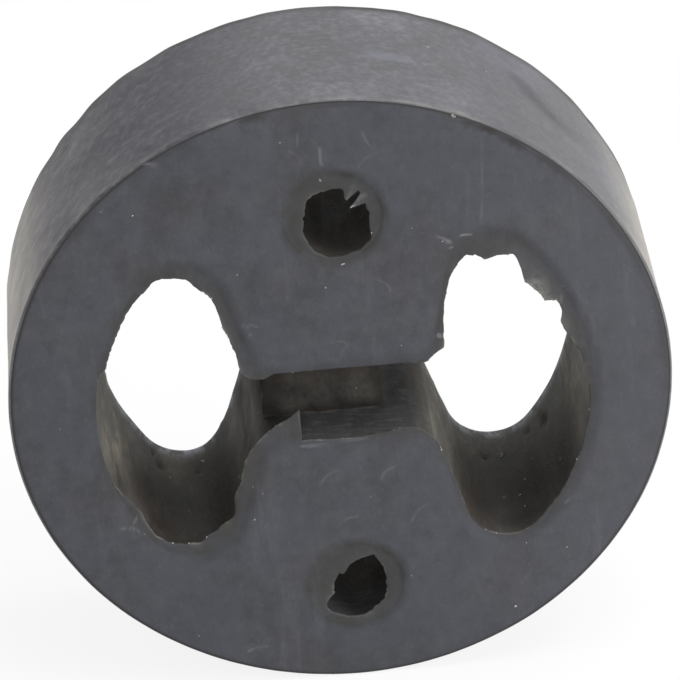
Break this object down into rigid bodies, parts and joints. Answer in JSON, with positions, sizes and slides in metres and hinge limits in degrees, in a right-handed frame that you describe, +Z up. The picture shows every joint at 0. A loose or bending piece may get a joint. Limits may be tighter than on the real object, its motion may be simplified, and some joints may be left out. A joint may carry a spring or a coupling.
{
  "type": "exhaust hanger rubber",
  "caption": "Thick round rubber disc with a pin hole above and below and wide side openings joined by a slot, hangs an exhaust pipe from a car's floor.",
  "frame": {"origin": "centre of the upper pin hole, half way through the disc", "axes": "+Z up from the lower pin hole to the upper one, Y along the disc's axis with the front face looking to -Y, +X to the right seen from the front"},
  "size_m": [0.065, 0.0212, 0.065],
  "materials": {
    "rubber": "matt moulded black rubber, greyed by age and dust, lighter and slightly smoother round the rim"
  },
  "bodies": {
    "root": {"hanger_rubber": "rubber"}
  },
  "joints": []
}
